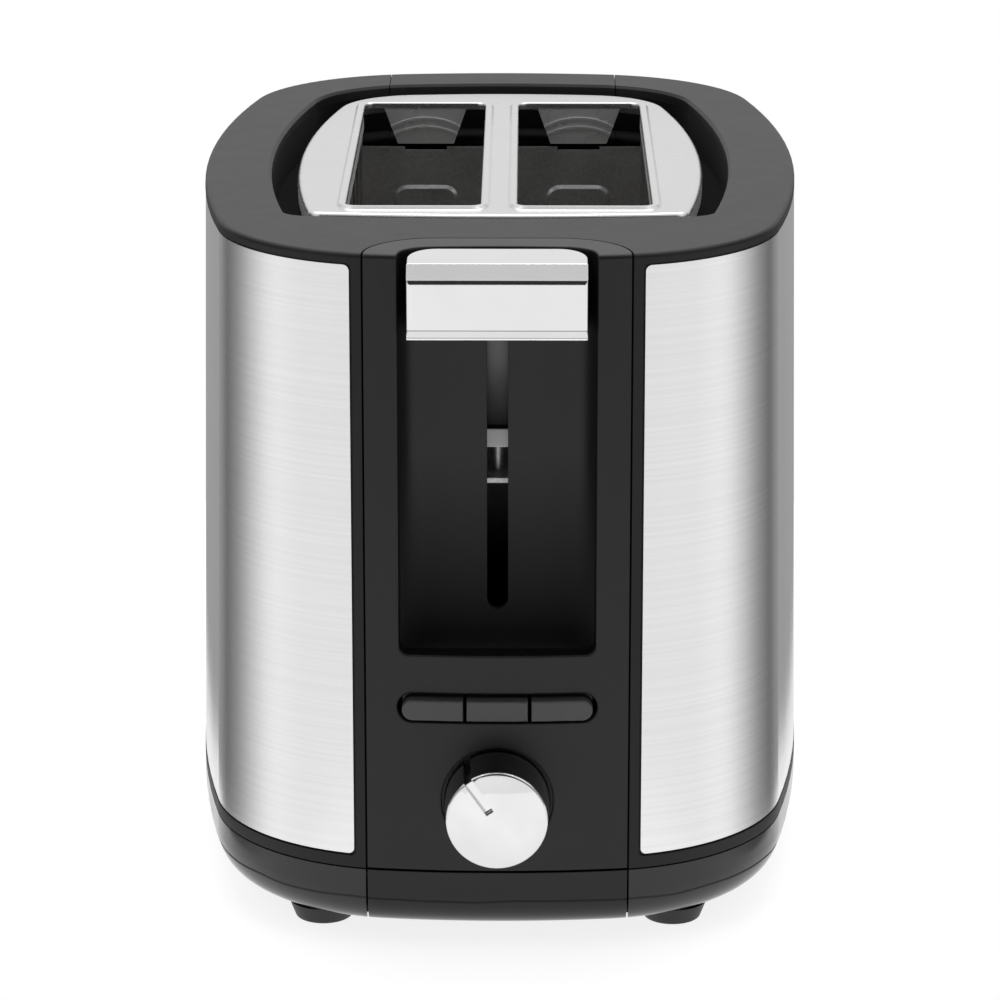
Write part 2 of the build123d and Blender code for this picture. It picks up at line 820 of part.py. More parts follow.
def guard_row(x, away):
    """Upright wires on two level rails; the rails lie on the side away from the bread."""
    rail_x = x + away * (2 * guard_wire_radius - guard_weld_depth)
    row = level(rail_x, guard_rail_low_z, guard_wire_radius, front_chassis_y, rear_chassis_y)
    row = row + level(rail_x, guard_rail_high_z, guard_wire_radius, front_chassis_y, rear_chassis_y)
    pitch = (rear_chassis_y - front_chassis_y) / (guard_wires + 1)
    wire_top_z = plate_z - slot_flange_depth - seat_clearance
    for n in range(guard_wires):
        y = front_chassis_y + (n + 1) * pitch
        row = row + upright(x, y, guard_wire_radius, guard_rail_low_z, wire_top_z)
    return row


def bread_guard():
    """Both wire rows of the right slot."""
    inner = slot_divider / 2 - guard_setback
    outer = slot_outer_x + guard_setback
    return Compound([guard_row(inner, -1), guard_row(outer, 1)])


def carriage_lip():
    """Lower edge of the carriage's front sheet, bent out toward the lever slot."""
    front = carriage_front_y
    back = front + carriage_sheet
    low = carriage_z - carriage_lip_height
    bend_z = carriage_z + carriage_sheet
    reach = carriage_lip_reach
    corners = [(front, bend_z), (back, bend_z), (back - reach, low), (front - reach, low)]
    return across(make_face(Polyline(*corners, close=True)), carriage_front_width / 2)


def carriage_plate():
    """Bent sheet that joins the lever arm, the bushes, the armature and the rack legs."""
    y = carriage_front_y
    half_front = carriage_front_width / 2
    flange_top = carriage_z + carriage_sheet
    back = front_chassis_y - chassis_sheet - slide_clearance
    plate = block(-half_front, half_front, y, y + carriage_sheet, carriage_z, carriage_top_z)
    plate = plate + block(-half_front, half_front, y, back, carriage_z, flange_top)
    wing_front = rod_y_place - bush_radius
    plate = plate + block(-carriage_half, carriage_half, wing_front, back, carriage_z, flange_top)
    plate = plate + block(-arm_width / 2, arm_width / 2, handle_back_y - arm_reach, y, arm_z, carriage_top_z)
    plate = plate + carriage_lip()
    for x in (-slot_x, slot_x):
        leg = carriage_leg_width / 2
        plate = plate + block(x - leg, x + leg, back - carriage_sheet, back, rack_z - rack_sheet, carriage_z)
    for x in (-rod_x, rod_x):
        plate = plate - upright(x, rod_y_place, bush_radius - bush_groove, carriage_z, flange_top)
    return plate - upright(0, rod_y_place, armature_stem_radius, carriage_z, flange_top)


def guide_bush():
    """Right guide bush, grooved so that the carriage sheet holds it."""
    top = bush_low_z + bush_length
    sheet_top = carriage_z + carriage_sheet
    bush = upright(rod_x, rod_y_place, bush_radius, bush_low_z, carriage_z)
    bush = bush + upright(rod_x, rod_y_place, bush_radius - bush_groove, carriage_z, sheet_top)
    bush = bush + upright(rod_x, rod_y_place, bush_radius, sheet_top, top)
    return bush - upright(rod_x, rod_y_place, rod_radius + running_clearance, bush_low_z, top)


def handle_side():
    """Side view of the handle: a top that falls to the front, a bevel, a soft crease and a low bevel."""
    edge_z = handle_top_z - handle_top_fall
    crease = (handle_front_y, edge_z - handle_top_bevel)
    low_edge_y = handle_front_y + handle_bottom_bevel_depth
    corners = [(handle_back_y, handle_bottom_z), (low_edge_y, handle_bottom_z)]
    corners += [(handle_front_y, handle_bottom_z + handle_bottom_bevel_height), crease]
    corners += [(handle_front_y + handle_top_bevel, edge_z), (handle_back_y, handle_top_z)]
    face = make_face(Polyline(*corners, close=True))
    return fillet(face.vertices().sort_by_distance(crease)[0], handle_crease_radius)


def lever_handle():
    half = handle_width / 2
    corners = [(-half, handle_front_y), (half, handle_front_y), (half, handle_back_y), (-half, handle_back_y)]
    face = make_face(Polyline(*corners, close=True))
    face = fillet(face.vertices().sort_by(Axis.Y)[-2:], handle_back_radius)
    face = fillet(face.vertices().sort_by(Axis.Y)[:2], handle_front_radius)
    handle = prism(face, handle_bottom_z, handle_top_z) & across(handle_side(), handle_width)
    handle = fillet(handle.faces().sort_by(Axis.Z)[-1].edges(), handle_edge_radius)
    handle = fillet(handle.edges().group_by(Axis.Z)[0], handle_low_edge_radius)
    fit = seat_clearance
    socket = block(
        -arm_width / 2 - fit,
        arm_width / 2 + fit,
        handle_back_y - arm_reach - fit,
        handle_back_y,
        arm_z - fit,
        carriage_top_z + fit,
    )
    return handle - socket


def armature():
    half = armature_width / 2
    low = armature_z
    top = armature_z + armature_sheet
    plate = block(-half, half, rod_y_place - armature_depth / 2, rod_y_place + armature_depth / 2, low, top)
    return plate + upright(0, rod_y_place, armature_stem_radius, top, carriage_z + carriage_sheet)


def bread_rack():
    """Right bread rack: a strip with turned-up edges, its arm at the front and a guide tongue at the back."""
    front = front_chassis_y - chassis_sheet - slide_clearance
    back = rear_chassis_y - rack_end_gap
    half = rack_width / 2
    low = rack_z - rack_sheet
    rack = block(slot_x - half, slot_x + half, front, back, low, rack_z)
    for edge in (slot_x - half, slot_x + half - rack_sheet):
        lip_front = front_chassis_y + rack_end_gap
        rack = rack + block(edge, edge + rack_sheet, lip_front, back, low - rack_lip_height, rack_z)
    tongue = rack_tongue_width / 2
    tongue_end = rear_chassis_y + chassis_sheet + rack_tongue_past
    return rack + block(slot_x - tongue, slot_x + tongue, back, tongue_end, low, rack_z)


def guide_rod():
    low = rod_seat_z - rod_seat_depth
    return upright(rod_x, rod_y_place, rod_radius, low, rod_bridge_z + rod_bridge_sheet + rod_overlap)


def rod_bridge():
    """Bracket on the front chassis plate that holds the upper ends of the guide rods."""
    half = rod_x + rod_bridge_margin
    back = front_chassis_y - chassis_sheet
    top = rod_bridge_z + rod_bridge_sheet
    flange_top = top + rod_bridge_margin
    bridge = block(-half, half, rod_y_place - rod_bridge_margin, back, rod_bridge_z, top)
    bridge = bridge + block(-half, half, back - rod_bridge_sheet, back, rod_bridge_z, flange_top)
    for x in (-rod_x, rod_x):
        bridge = bridge - upright(x, rod_y_place, rod_radius + seat_clearance, rod_bridge_z, top)
    return bridge


def lift_spring():
    """Right compression spring around its guide rod, under the bush."""
    low = rod_seat_z + spring_wire_radius
    height = bush_low_z - spring_wire_radius - low
    path = Helix(height / spring_turns, height, spring_coil_radius)
    section = Plane(origin=path @ 0, z_dir=path % 0) * Circle(spring_wire_radius)
    return Pos(rod_x, rod_y_place, low) * sweep(section, path=path, is_frenet=True)


def magnet_yoke():
    """Bracket on the front chassis plate with the magnet's core."""
    half = yoke_width / 2
    back = front_chassis_y - chassis_sheet
    front = rod_y_place - coil_radius
    low = chassis_z
    yoke = block(-half, half, front, back, low, low + yoke_sheet)
    yoke = yoke + block(-half, half, back - yoke_sheet, back, low, low + yoke_leg_height)
    yoke = yoke + upright(0, rod_y_place, core_radius, low, magnet_top_z)
    for place in yoke_screw_places():
        yoke = yoke - level(place[0], place[1], board_screw_radius, back - yoke_sheet, back)
    return yoke


def yoke_screw_places():
    margin = board_screw_head_radius + yoke_screw_margin
    z = chassis_z + yoke_leg_height - margin
    x = yoke_width / 2 - margin
    return [(-x, z), (x, z)]


def yoke_screws():
    back = front_chassis_y - chassis_sheet
    head_y = back - yoke_sheet
    screws = []
    for x, z in yoke_screw_places():
        screw = level(x, z, board_screw_radius, head_y, back)
        screws.append(screw + level(x, z, board_screw_head_radius, head_y - board_screw_head_height, head_y))
    return Compound(screws)


def magnet_coil():
    low = chassis_z + yoke_sheet
    high = magnet_top_z - coil_margin
    coil = upright(0, rod_y_place, coil_radius - coil_flange_rim, low, high)
    for z in (low, high - coil_flange):
        coil = coil + upright(0, rod_y_place, coil_radius, z, z + coil_flange)
    return coil - upright(0, rod_y_place, core_radius + seat_clearance, low, high)


def mains_switch():
    """Switch on the front chassis plate whose plunger the carriage reaches at the bottom of its travel."""
    back = front_chassis_y - chassis_sheet
    top = carriage_z - lever_travel - slide_clearance
    body_top = top - mains_plunger_height
    low = body_top - mains_switch_height
    x_low = mains_switch_x - mains_switch_width / 2
    front = back - mains_switch_depth
    body = block(x_low, x_low + mains_switch_width, front, back, low, body_top)
    return body + upright(mains_switch_x, (front + back) / 2, mains_plunger_radius, body_top, top)


def button_spans():
    """X limits of the three buttons from left to right."""
    half = button_opening_width / 2 - button_row_gap
    third = (2 * half - 2 * button_split_gap) / 3
    step = third + button_split_gap
    return [(-half + n * step, -half + n * step + third) for n in range(3)]


def button(index):
    """A button: its cap in the opening, a flange behind the panel and a stem to its key switch."""
    low, high = button_spans()[index]
    middle = (low + high) / 2
    span = block(low, high, -far, 0, seam_z, rim_z)
    row_width = button_opening_width - 2 * button_row_gap
    row_height = button_opening_height - 2 * button_row_gap
    flange_in = shell_wall + slide_clearance
    flange_end = flange_in + button_flange_sheet
    cap = button_prism(row_width, row_height, -far, 0)
    cap = cap & span & drafted_layer(-button_proud, flange_end, seam_z, rim_z)
    cap = fillet(surface_edges(cap, -button_proud, button_opening_width), button_edge_radius)
    flange_half = row_height / 2 + button_row_gap + button_flange
    flange = block(low, high, -far, 0, button_row_z - flange_half, button_row_z + flange_half)
    flange = flange & drafted_layer(flange_in, flange_end, seam_z, rim_z)
    stem_end = switch_end_y - button_travel - slide_clearance
    stem = level(middle, button_row_z, button_stem_radius, -far, stem_end)
    stem = stem & drafted(flange_in, seam_z, rim_z)
    return cap + flange + stem


def control_board():
    board = block(-board_half_width, board_half_width, board_front_y, board_back_y, board_low_z, board_high_z)
    for x, z in board_boss_places():
        board = board - level(x, z, board_screw_radius + seat_clearance, board_front_y, board_back_y)
    return board


def board_screws():
    screws = []
    for x, z in board_boss_places():
        head_end = board_back_y + board_screw_head_height
        screw = level(x, z, board_screw_radius, board_front_y - board_screw_length, board_back_y)
        screws.append(screw + level(x, z, board_screw_head_radius, board_back_y, head_end))
    return Compound(screws)


def key_switches():
    switches = []
    half = switch_size / 2
    body_y = board_front_y - switch_body_depth
    for low, high in button_spans():
        x = (low + high) / 2
        body = block(x - half, x + half, body_y, board_front_y, button_row_z - half, button_row_z + half)
        switches.append(body + level(x, button_row_z, switch_plunger_radius, switch_end_y, body_y))
    return Compound(switches)


def browning_control():
    """The rotary control on the board; the knob's shaft turns in its bore."""
    front = board_front_y - control_depth
    body = level(0, knob_z, control_radius, front, board_front_y)
    return body - level(0, knob_z, shaft_radius + running_clearance, front, board_front_y)


def knob_shaft():
    end = knob_face_y + shaft_end_wall
    return level(0, knob_z, shaft_radius, end, board_front_y - slide_clearance)


def browning_knob():
    """A hollow, slightly tapered knob with a domed face, a hub and a pointer groove."""
    length = knob_back_y - knob_face_y
    dome = Pos(0, 0, length / 2 - knob_dome_radius) * Sphere(knob_dome_radius)
    dome_drop = knob_dome_radius - math.sqrt(knob_dome_radius**2 - knob_face_radius**2)
    outside = Cone(knob_base_radius, knob_face_radius, length) & dome
    rim = outside.edges().filter_by(lambda edge: edge.is_closed).sort_by(Axis.Z)[-1]
    outside = fillet(rim, knob_edge_radius)
    hollow_length = length - knob_wall
    hollow = Cone(knob_base_radius - knob_wall, knob_face_radius - knob_wall, hollow_length)
    hollow = hollow - Pos(0, 0, knob_hub_recess) * Cylinder(knob_hub_radius, hollow_length)
    knob = outside - Pos(0, 0, -knob_wall / 2) * hollow
    bore_depth = knob_back_y - knob_face_y - shaft_end_wall + seat_clearance
    knob = knob - Pos(0, 0, (bore_depth - length) / 2) * Cylinder(shaft_radius + seat_clearance, bore_depth)
    half = knob_groove_width / 2
    groove_floor = length / 2 - dome_drop - knob_groove_depth
    face_cut = block(-half, half, knob_groove_inner, far, groove_floor, length)
    side_cut = block(-half, half, knob_face_radius - knob_groove_depth, far, -length, length)
    knob = knob - Rot(0, 0, -knob_rest_angle) * (face_cut + side_cut)
    return Pos(0, (knob_face_y + knob_back_y) / 2, knob_z) * Rot(90, 0, 0) * knob


def base_solid(inset, floor_z):
    solid = prism(body_outline(inset), floor_z, seam_z - base_seam_groove)
    return fillet(solid.edges().group_by(Axis.Z)[0], base_round - inset)


def skirt_zone(inset):
    half = panel_half_width - inset
    return block(-half, half, -far, -body_depth / 2 + skirt_depth, 0, seam_z)


def tray_mouth(inset):
    half = tray_half + slide_clearance - inset
    low = base_floor_z + tray_rail_height + inset
    return block(-half, half, body_depth / 4, far, low, low + tray_mouth_height - 2 * inset)


def base_space():
    """The hollow inside the base wall."""
    space = prism(body_outline(base_wall), base_floor_z, seam_z)
    return fillet(space.edges().group_by(Axis.Z)[0], base_round - base_wall)


base_bowl = base_solid(0, foot_height) - base_space()


def base_lip():
    """A ring that stands inside the housing wall and joins base and housing."""
    outer = shell_wall + slide_clearance
    inner = outer + lip_wall
    ring = drafted_layer(outer, inner, seam_z - base_lip_root, seam_z + base_lip_height)
    ledge_high = seam_z - base_lip_root / 2
    ledge = prism(body_outline(base_wall / 2), seam_z - base_lip_root, ledge_high)
    ledge = ledge - prism(body_outline(inner), seam_z - base_lip_root, ledge_high)
    gaps = skirt_zone(-seam_gap / 2)
    strip = panel_half_width + lip_width + slide_clearance
    behind_lips = block(-strip, strip, -far, far, seam_z - base_seam_groove, rim_z)
    return (ring - behind_lips) + (ledge - gaps)


def base():
    bowl = base_bowl - skirt_zone(-seam_gap / 2)
    bowl = bowl + base_lip()
    rail_x = tray_half - tray_rail_inset
    rail_end = body_depth / 2 - base_round
    rail_high = tray_z - slide_clearance
    rail = block(rail_x, rail_x + tray_rail_width, front_chassis_y, rail_end, base_floor_z, rail_high)
    bowl = bowl + both_sides(rail)
    cup_radius = screw_head_radius + screw_cup_wall
    bowl = bowl + four_corners(upright(post_x, post_y, cup_radius, foot_height, screw_cup_z))
    inner = tray_half + chassis_post_gap
    for y in (front_chassis_y, rear_chassis_y):
        half = chassis_post_depth / 2
        bowl = bowl + both_sides(block(inner, chassis_half, y - half, y + half, base_floor_z, chassis_z))
    seat = upright(rod_x, rod_y_place, rod_seat_radius, base_floor_z, rod_seat_z)
    bowl = bowl + both_sides(seat)
    bore = upright(rod_x, rod_y_place, rod_radius + seat_clearance, rod_seat_z - rod_seat_depth, rod_seat_z)
    bowl = bowl - both_sides(bore)
    head_top = foot_height + screw_cup_depth
    bowl = bowl - four_corners(upright(post_x, post_y, screw_head_radius + slide_clearance, 0, head_top))
    bowl = bowl - four_corners(upright(post_x, post_y, screw_radius + slide_clearance, 0, seam_z))
    bowl = bowl - four_corners(upright(foot_x, foot_y, foot_stem_radius + seat_clearance, 0, base_floor_z))
    return bowl - tray_mouth(0)


def front_skirt():
    return base_bowl & skirt_zone(seam_gap / 2)


def foot():
    """Rear right foot with the stem that is pressed into the base."""
    pad = Cone(foot_bottom_radius, foot_top_radius, foot_height)
    pad = fillet(pad.edges().group_by(Axis.Z)[0], foot_edge_radius)
    pad = Pos(foot_x, foot_y, foot_height / 2) * pad
    return pad + upright(foot_x, foot_y, foot_stem_radius, foot_height, base_floor_z)


def base_screws():
    head_z = foot_height + screw_cup_depth - screw_head_height
    screw = upright(post_x, post_y, screw_head_radius, head_z, head_z + screw_head_height)
    screw = screw + upright(post_x, post_y, screw_radius, head_z, screw_cup_z + screw_length)
    return Compound(four_corners(screw))


def crumb_tray():
    """Sheet tray under the slots that slides out at the back."""
    front = front_chassis_y
    outside = block(-tray_half, tray_half, front, far, tray_z, tray_z + tray_wall_height)
    hollow = block(
        -tray_half + tray_sheet, tray_half - tray_sheet, front + tray_sheet, far, tray_z + tray_sheet, seam_z
    )
    return (outside - hollow) & base_space()


def tray_handle():
    """The tray's end piece: it closes the mouth in the base flush and has a grip edge."""
    face = base_bowl & tray_mouth(slide_clearance)
    half = tray_grip_width / 2
    low = tray_z + tray_wall_height / 2
    grip = block(-half, half, body_depth / 2 - base_wall, grip_end_y, low, low + tray_grip_thickness)
    return face + (grip - base_space())


def cord_gland():
    """Bush in the back panel that the cord would pass through."""
    outside_y = -front_y(0, gland_z - gland_flange_radius)
    inside_y = outside_y - shell_wall - gland_neck_length
    gland = level(0, gland_z, gland_neck_radius, inside_y, outside_y)
    gland = gland + level(0, gland_z, gland_flange_radius, outside_y, outside_y + gland_flange_thickness)
    return gland - level(0, gland_z, gland_bore_radius, inside_y, outside_y + gland_flange_thickness)


def mirrored(shape):
    return mirror(shape, about=Plane.YZ)


def all_parts():
    parts = {
        "housing": housing(),
        "front_panel": front_panel(),
        "back_panel": back_panel(),
        "slot_plate": slot_plate(),
        "base": base(),
        "front_skirt": front_skirt(),
        "base_screws": base_screws(),
        "front_chassis": front_chassis(),
        "rear_chassis": rear_chassis(),
        "rod_bridge": rod_bridge(),
        "magnet_yoke": magnet_yoke(),
        "magnet_coil": magnet_coil(),
        "yoke_screws": yoke_screws(),
        "mains_switch": mains_switch(),
        "control_board": control_board(),
        "board_screws": board_screws(),
        "key_switches": key_switches(),
        "browning_control": browning_control(),
        "cord_gland": cord_gland(),
        "carriage_plate": carriage_plate(),
        "lever_handle": lever_handle(),
        "armature": armature(),
        "browning_knob": browning_knob(),
        "knob_shaft": knob_shaft(),
        "crumb_tray": crumb_tray(),
        "tray_handle": tray_handle(),
    }
    pairs = {
        "steel_panel": steel_panel(),
        "reflector": reflector(),
        "bread_guard": bread_guard(),
        "bread_rack": bread_rack(),
        "guide_rod": guide_rod(),
        "guide_bush": guide_bush(),
        "lift_spring": lift_spring(),
    }
    for name, right in pairs.items():
        parts["right_" + name] = right
        parts["left_" + name] = mirrored(right)
    for side in heater_x_places():
        parts[side + "_heater_board"] = heater_board(side)
        parts[side + "_heater_winding"] = heater_winding(side)
    for index, name in enumerate(("left", "middle", "right")):
        parts[name + "_button"] = button(index)
    names = ("rear_right_foot", "rear_left_foot", "front_right_foot", "front_left_foot")
    for name, shape in zip(names, four_corners(foot())):
        parts[name] = shape
    return parts


os.makedirs("parts", exist_ok=True)
for part_name, part_shape in all_parts().items():
    export_step(Pos(0, -origin_y, 0) * part_shape, f"parts/{part_name}.step")
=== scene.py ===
"""Finishes, light and camera for a two-slot pop up toaster. Metres, front is -Y, up is +Z."""

import json
import math

import bpy
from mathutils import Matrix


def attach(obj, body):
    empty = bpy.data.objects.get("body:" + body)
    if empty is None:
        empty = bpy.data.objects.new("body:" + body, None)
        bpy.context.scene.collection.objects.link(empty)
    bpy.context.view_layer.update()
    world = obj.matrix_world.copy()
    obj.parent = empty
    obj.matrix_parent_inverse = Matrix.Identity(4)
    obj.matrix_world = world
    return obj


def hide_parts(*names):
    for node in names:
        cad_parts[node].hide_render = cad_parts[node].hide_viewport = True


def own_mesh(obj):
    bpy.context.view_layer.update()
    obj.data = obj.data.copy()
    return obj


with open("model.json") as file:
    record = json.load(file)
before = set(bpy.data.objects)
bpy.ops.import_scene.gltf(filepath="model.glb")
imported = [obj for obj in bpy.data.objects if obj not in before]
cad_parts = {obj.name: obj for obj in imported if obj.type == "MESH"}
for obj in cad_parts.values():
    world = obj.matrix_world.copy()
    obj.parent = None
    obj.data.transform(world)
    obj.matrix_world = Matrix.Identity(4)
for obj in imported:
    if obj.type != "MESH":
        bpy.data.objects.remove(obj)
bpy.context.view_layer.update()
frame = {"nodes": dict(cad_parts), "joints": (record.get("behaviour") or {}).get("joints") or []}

scene = bpy.context.scene

# Camera, at the photograph's place and angle
camera_place = (0.00757, -1.16572, 0.43335)
camera_pitch = 0.2868
camera_yaw = 0.00656
camera_lens = 151.02
sensor_width = 36.0

# Studio: a small sheet of glowing white paper under one lamp
floor_half_width = 0.115
floor_front = -0.50
floor_back = 0.30
floor_colour = (0.30, 0.30, 0.30)
floor_roughness = 0.85
floor_glow = 0.84
glow_colour = (1.0, 1.0, 1.0, 1.0)
backdrop_colour = (1.0, 1.0, 1.0)
softbox_power = 7.0
softbox_width = 1.2
softbox_depth = 0.8
softbox_place = (0.0, 0.38, 1.30)

# Sky light below and above the horizon: (share of the way from front to back, brightness)
table_light = [
    (0.0, 0.95), (0.30, 0.94), (0.45, 1.02), (0.525, 0.95), (0.655, 0.60),
    (0.75, 0.34), (0.875, 0.14), (0.95, 0.31), (1.0, 0.37),
]
room_light = [
    (0.0, 0.03), (0.06, 0.03), (0.14, 0.45), (0.40, 0.45), (0.55, 0.06),
    (0.80, 0.20), (0.92, 0.88),
]
horizon_blur = 0.01

# Ceiling light: (height of the direction, brightness)
overhead_light = [(0.0, 0.92), (0.90, 0.92), (0.955, 0.66)]
overhead_low, overhead_high = 0.42, 0.58

# Straight in front the ceiling starts higher, over a dark room. Its lift fades along the turn.
front_lift = 0.85
lift_full, lift_gone = 0.02, 0.10

# Most of a noise texture's values lie between these
noise_low, noise_high = 0.3, 0.7

# Colour sockets of a Mix node
mix_first, mix_second, mix_result = 6, 7, 2

# Plastics: colours are linear
ring_colour = (0.007, 0.007, 0.0072)
ring_roughness = 0.46
ring_shine = 0.32
# Painted shade: the inside of the well is coloured near black, where little light reaches.
well_painted_shade = (0.0015, 0.0015, 0.0015)
well_centre = (0.0, 0.020)
well_half = (0.0655, 0.100)
well_top = 0.1868
panel_colour = (0.003, 0.003, 0.0031)
panel_roughness = 0.42
panel_shine = 0.44
channel_front = -0.1160
channel_low, channel_high = 0.083, 0.135
base_colour = (0.004, 0.004, 0.0041)
base_shine = 0.54
skirt_shine = 0.36
line_height = 0.0143
line_half_width = 0.00035
line_wander = 0.0004
line_roughness = 0.75
button_colour = (0.052, 0.052, 0.053)
button_roughness = 0.36
rubber_colour = (0.010, 0.010, 0.010)
rubber_roughness = 0.50
plastic_shine = 0.5
polish_spread = 0.01
edge_radius = 0.00035
edge_samples = 4

# Metals
side_steel_colour = (0.83, 0.83, 0.83)
brush_anisotropy = 0.75
brush_turn = 0.25
plate_colour = (0.685, 0.685, 0.685)
plate_roughness = 0.27
plate_under = 0.1873
# Painted light: the tabs turned down under the plate's top take this paler colour, and less
# metal, so that they look lit in the slots.
tab_painted_light = (0.90, 0.90, 0.90)
tab_metallic = 0.3
tab_blur = 0.0004
lever_chrome_colour = (0.84, 0.84, 0.845)
lever_haze = 0.02
handle_low = 0.1690
# Painted reflection and shade on the lever handle, just above its lower edge: (share of the
# band's height, grey).
painted_band_height = 0.004
painted_band_stops = [
    (0.0, 1.0), (0.16, 1.0), (0.17, 0.35), (0.22, 0.35), (0.23, 0.80),
    (0.68, 0.80), (0.69, 0.35), (0.745, 0.35), (0.755, 1.0),
]
knob_chrome_colour = (0.75, 0.75, 0.755)
knob_haze = 0.10
carriage_colour = (0.004, 0.004, 0.004)
# Painted reflection: the carriage sheet pales to this grey towards its top.
carriage_painted_reflection = (0.16, 0.16, 0.16)
carriage_top = 0.170
# Painted light: the lip is coloured near white, with less metal, to look brightly lit.
lip_painted_light = (0.95, 0.95, 0.95)
lip_top = 0.1395
lip_metallic = 0.3
lip_blur = 0.0002
# Painted light and shade: the armature and chassis parts are one plated steel given different
# greys, from near white to near black, as lit and shaded copies.
armature_colour = (0.94, 0.94, 0.94)
front_chassis_colour = (0.06, 0.06, 0.06)
rear_chassis_colour = (0.74, 0.74, 0.74)
chassis_colour = (0.46, 0.46, 0.46)
roll_spread = 0.06
wire_colour = (0.50, 0.50, 0.50)
ribbon_colour = (0.26, 0.25, 0.24)
copper_colour = (0.62, 0.27, 0.12)
copper_turns = 900.0

# Inner pieces
mica_colour = (0.20, 0.185, 0.16)
mica_sheen = 0.2
laminate_colour = (0.02, 0.12, 0.05)
switch_colour = (0.010, 0.010, 0.010)
nylon_colour = (0.62, 0.60, 0.53)

# Knob shading
weld_distance = 1e-6
sharp_angle = math.radians(30.0)


class Nodes:
    """Short ways to add and link shader nodes in one tree."""

    def __init__(self, tree):
        self.tree = tree

    def add(self, kind, **settings):
        node = self.tree.nodes.new(kind)
        for key, value in settings.items():
            setattr(node, key, value)
        return node

    def link(self, output, target):
        self.tree.links.new(output, target)

    def vector(self, operation, source, second=None):
        node = self.add("ShaderNodeVectorMath", operation=operation)
        self.link(source, node.inputs[0])
        if second is not None:
            node.inputs[1].default_value = second
        return node.outputs["Vector"]

    def number(self, operation, first, second):
        """Arithmetic on an output and a number or a second output."""
        node = self.add("ShaderNodeMath", operation=operation)
        self.link(first, node.inputs[0])
        if isinstance(second, float):
            node.inputs[1].default_value = second
        else:
            self.link(second, node.inputs[1])
        return node.outputs["Value"]

    def near(self, value, middle, reach):
        """1 where a value lies within reach of the middle, and 0 elsewhere."""
        within = self.number("COMPARE", value, middle)
        within.node.inputs[2].default_value = reach
        return within

    def along(self, source, axis):
        node = self.add("ShaderNodeSeparateXYZ")
        self.link(source, node.inputs[0])
        return node.outputs[axis]

    def spread(self, value, low, high, from_low=noise_low, from_high=noise_high):
        """Map a range of a value to low and high."""
        node = self.add("ShaderNodeMapRange")
        self.link(value, node.inputs["Value"])
        node.inputs["From Min"].default_value = from_low
        node.inputs["From Max"].default_value = from_high
        node.inputs["To Min"].default_value = low
        node.inputs["To Max"].default_value = high
        return node.outputs["Result"]

    def ramp(self, value, stops):
        """Grey levels along a value from 0 to 1."""
        node = self.add("ShaderNodeValToRGB")
        self.link(value, node.inputs["Fac"])
        elements = node.color_ramp.elements
        while len(elements) < len(stops):
            elements.new(1.0)
        for element, (position, grey) in zip(elements, stops):
            element.position = position
            element.color = (grey, grey, grey, 1.0)
        return node.outputs["Color"]

    def mix(self, factor, first, second):
        """Blend two colours, each given as an output or as a fixed colour."""
        node = self.add("ShaderNodeMix", data_type="RGBA")
        self.link(factor, node.inputs["Factor"])
        for socket, colour in ((mix_first, first), (mix_second, second)):
            if isinstance(colour, tuple):
                node.inputs[socket].default_value = (*colour, 1.0)
            else:
                self.link(colour, node.inputs[socket])
        return node.outputs[mix_result]

    def tint(self, first, second):
        """Product of two colours, both outputs."""
        node = self.add("ShaderNodeMix", data_type="RGBA", blend_type="MULTIPLY")
        node.inputs["Factor"].default_value = 1.0
        self.link(first, node.inputs[mix_first])
        self.link(second, node.inputs[mix_second])
        return node.outputs[mix_result]


class Finish(Nodes):
    """A material with a Principled shader, laid out by the place on the toaster."""

    def __init__(self, name, colour, roughness, metallic=0.0):
        self.material = bpy.data.materials.new(name)
        self.material.use_nodes = True
        super().__init__(self.material.node_tree)
        self.shader = self.tree.nodes["Principled BSDF"]
        self.colour = colour
        self.fix("Base Color", (*colour, 1.0))
        self.fix("Roughness", roughness)
        self.fix("Metallic", metallic)
        self.places = self.add("ShaderNodeTexCoord").outputs["Object"]

    def fix(self, socket, value):
        self.shader.inputs[socket].default_value = value

    def feed(self, socket, output):
        self.link(output, self.shader.inputs[socket])

    def fed(self, socket):
        """The output that feeds a socket so far."""
        return self.shader.inputs[socket].links[0].from_socket

    def place(self, axis):
        return self.along(self.places, axis)

    def noise(self, scales, detail=2.0):
        """Noise, with its number of features per metre along X, Y and Z."""
        node = self.add("ShaderNodeTexNoise")
        self.link(self.vector("MULTIPLY", self.places, scales), node.inputs["Vector"])
        node.inputs["Scale"].default_value = 1.0
        node.inputs["Detail"].default_value = detail
        return node.outputs["Fac"]

    def even_noise(self, scale, detail=2.0):
        return self.noise((scale,) * 3, detail)

    def cells(self, scale):
        node = self.add("ShaderNodeTexVoronoi")
        self.link(self.places, node.inputs["Vector"])
        node.inputs["Scale"].default_value = scale
        return node.outputs["Color"]

    def shades(self, value, darker, lighter):
        """The base colour between two multiples of itself."""
        low = tuple(channel * darker for channel in self.colour)
        high = tuple(channel * lighter for channel in self.colour)
        return self.mix(self.spread(value, 0.0, 1.0), low, high)

    def vary_colour(self, value, darker, lighter):
        self.feed("Base Color", self.shades(value, darker, lighter))

    def vary_roughness(self, value, low, high):
        self.feed("Roughness", self.spread(value, low, high))

    def relief(self, value, height, radius=edge_radius):
        """Surface relief of a given height in metres, on edges broken by a small radius."""
        bump = self.add("ShaderNodeBump")
        bump.inputs["Strength"].default_value = 1.0
        bump.inputs["Distance"].default_value = height
        self.link(value, bump.inputs["Height"])
        if radius:
            edge = self.add("ShaderNodeBevel", samples=edge_samples)
            edge.inputs["Radius"].default_value = radius
            self.link(edge.outputs["Normal"], bump.inputs["Normal"])
        self.feed("Normal", bump.outputs["Normal"])


